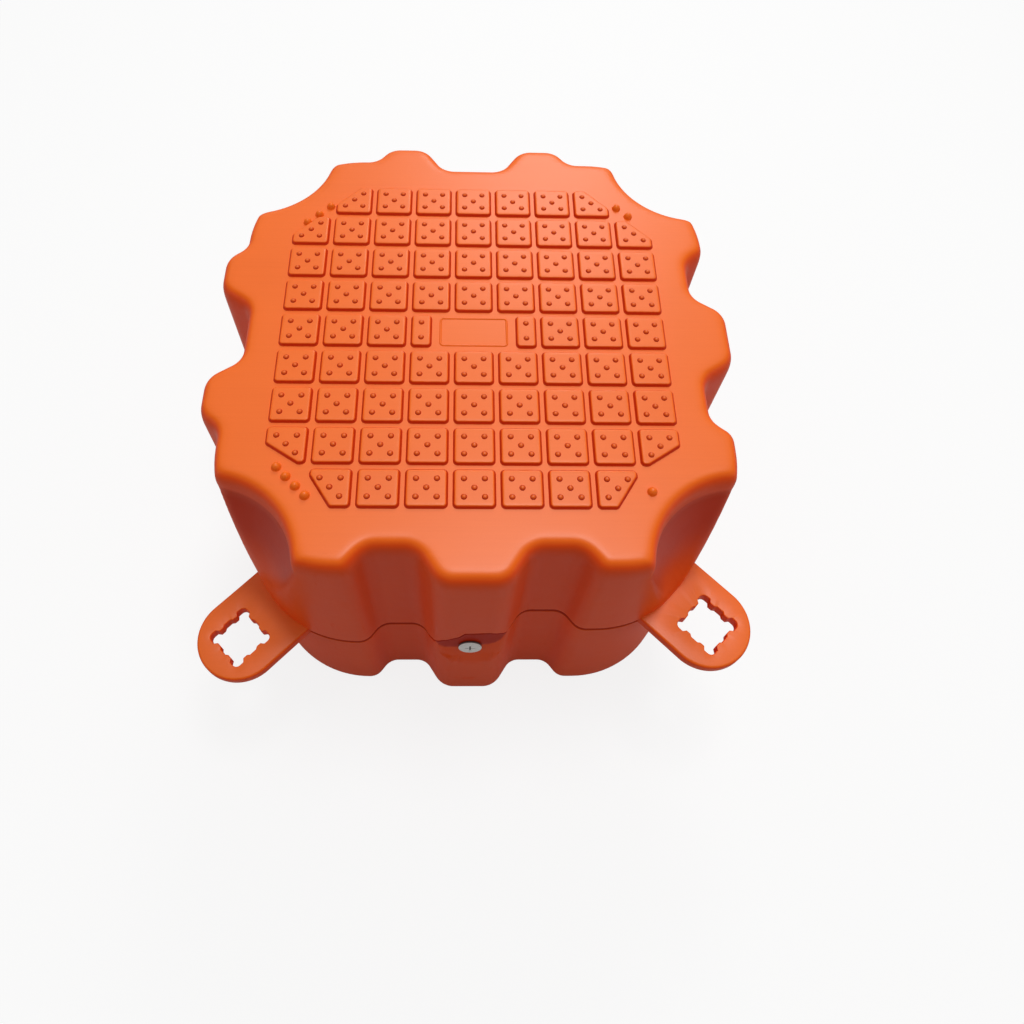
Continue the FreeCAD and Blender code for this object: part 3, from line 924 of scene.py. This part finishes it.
def pad_bumps(material):
    """Small grip bumps, set on each pad like the five of a die, with painted shade deepest at their feet."""
    foot_z = DECK_Z + PAD_HEIGHT
    parts = []
    for x, y, outline, bumps in pad_plan():
        half_pad = len(bumps) == 2
        spread_x = PAD_SIZE / 4.0 if half_pad else BUMP_SPREAD[0]
        for sx, sy in bumps:
            parts.append(dome(x + sx * spread_x, y + sy * BUMP_SPREAD[1], foot_z, BUMP_R, BUMP_HEIGHT, 14, 4))
    piece = mesh_piece("pad_bumps", *gathered(parts), material, 70.0)
    return shade_foot(piece, foot_z, foot_z + 1.4 * BUMP_HEIGHT, BUMP_SHADE)


def level_dots(material):
    """Domes beside each well that number the corner's lug level."""
    parts = []
    for name, (sx, sy, number) in CORNERS.items():
        x, y, pitch = DOT_ROWS[name]
        for i in range(number):
            shift = (i - (number - 1) / 2.0) * pitch / math.sqrt(2.0)
            parts.append(dome(x + sx * shift, y - sy * shift, DECK_Z, DOT_R, DOT_HEIGHT, 28, 8))
    return mesh_piece("level_dots", *gathered(parts), material, 70.0)


def label_frame(material):
    """The thin raised frame of the plain plate in the middle of the deck."""
    half_x, half_y = PLATE_SIZE[0] / 2.0, PLATE_SIZE[1] / 2.0
    corners = [(-half_x, -half_y, PLATE_CORNER), (half_x, -half_y, PLATE_CORNER),
               (half_x, half_y, PLATE_CORNER), (-half_x, half_y, PLATE_CORNER)]
    rings = profile_rings(corners, PLATE_PROFILE, 8)
    faces = ring_faces(len(rings), len(rings[0]), closed=True)
    return mesh_piece("label_frame", np.vstack(rings), faces, material, 60.0)


def dress_plug(frame):
    """Finishes of the CAD plug and its seal."""
    for node, material in (("vent_plug", white_plug_plastic()), ("plug_seal", black_rubber())):
        mesh = frame["nodes"][node].data
        mesh.materials.clear()
        mesh.materials.append(material)


def ray_kinds(sheet):
    """1 on rays from the camera, and 1 on rays from a reflection or through glass."""
    rays = sheet.tree.nodes.new("ShaderNodeLightPath")
    camera, glossy, through = [Socket(sheet, rays.outputs[name]) for name in
                               ("Is Camera Ray", "Is Glossy Ray", "Is Transmission Ray")]
    return camera, glossy + through


def pale_floor():
    """A floor seen as near white, with a faint shadow of the object, and grey to the light it returns."""
    sheet = new_sheet("pale_floor")
    camera, mirrored = ray_kinds(sheet)
    tone = sheet.mix_colour(camera, FLOOR_GREY, FLOOR_PALE)
    matt = sheet.node("ShaderNodeBsdfDiffuse", {}, {"Color": tone})
    glow = sheet.node("ShaderNodeEmission", {}, {"Color": (1.0, 1.0, 1.0, 1.0), "Strength": 1.0})
    share = camera * FLOOR_GLOW + mirrored * MIRRORED_GLOW
    material = sheet.finish(sheet.node("ShaderNodeMixShader", {}, {0: share, 1: matt, 2: glow}))
    mesh = bpy.data.meshes.new("floor")
    corners = [(sx * FLOOR_REACH, sy * FLOOR_REACH, 0.0) for sx, sy in ((-1, -1), (1, -1), (1, 1), (-1, 1))]
    mesh.from_pydata(corners, [], [(0, 1, 2, 3)])
    mesh.materials.append(material)
    floor = bpy.data.objects.new("floor", mesh)
    floor.location.z = FLOOR_Z
    bpy.context.scene.collection.objects.link(floor)


def pale_world():
    """Soft light that is stronger from above and behind; seen directly it is white."""
    world = bpy.data.worlds.new("studio")
    bpy.context.scene.world = world
    sheet = Sheet(world)
    toward = sheet.dot(sheet.node("ShaderNodeTexCoord", {}, {}, "Generated"), SKY_TOWARD)
    light = sheet.map_range(toward, SKY_SPAN, SKY_LEVELS)
    camera, mirrored = ray_kinds(sheet)
    seen = camera + mirrored
    strength = seen + (1.0 - seen) * light
    sheet.finish(sheet.node("ShaderNodeBackground", {}, {"Strength": strength}), "ShaderNodeOutputWorld")


def area_light(name, place, size, power):
    """A round lamp that faces the object."""
    light = bpy.data.lights.new(name, "AREA")
    light.shape = "DISK"
    light.size = size
    light.energy = power
    lamp = bpy.data.objects.new(name, light)
    lamp.location = place
    aim = Vector(LAMP_TARGET) - Vector(place)
    lamp.rotation_euler = aim.to_track_quat("-Z", "Y").to_euler()
    bpy.context.scene.collection.objects.link(lamp)


def photo_camera():
    """The photograph's view, with its image centre set by the camera's shift."""
    turn = Matrix((Vector(CAMERA_RIGHT), -Vector(CAMERA_DOWN), -Vector(CAMERA_FORWARD))).transposed()
    data = bpy.data.cameras.new("camera")
    data.sensor_width = 36.0
    data.lens = FOCAL_PX / IMAGE_PX * data.sensor_width
    data.shift_x = 0.5 - CENTRE_PX[0] / IMAGE_PX
    data.shift_y = CENTRE_PX[1] / IMAGE_PX - 0.5
    data.clip_start = 0.05
    data.clip_end = 50.0
    camera = bpy.data.objects.new("camera", data)
    camera.matrix_world = Matrix.Translation(Vector(CAMERA_PLACE) * MM) @ turn.to_4x4()
    bpy.context.scene.collection.objects.link(camera)
    bpy.context.scene.camera = camera


def main():
    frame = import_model()
    photo_camera()
    orange = orange_polyethylene("orange_polyethylene", SIDE_SHEEN_FROM)
    float_skin(orange)
    for name, corner in CORNERS.items():
        lug(name, corner, orange)
    tread_pads(orange)
    # The raised parts take the painted sheen on most of their faces
    sheen_orange = orange_polyethylene("sheen_painted_polyethylene", RAISED_SHEEN_FROM)
    pad_bumps(sheen_orange)
    level_dots(sheen_orange)
    label_frame(sheen_orange)
    dress_plug(frame)
    pale_floor()
    pale_world()
    for name, place, size, power in LAMPS:
        area_light(name, place, size, power)
    bpy.context.scene.view_settings.view_transform = "Standard"


main()
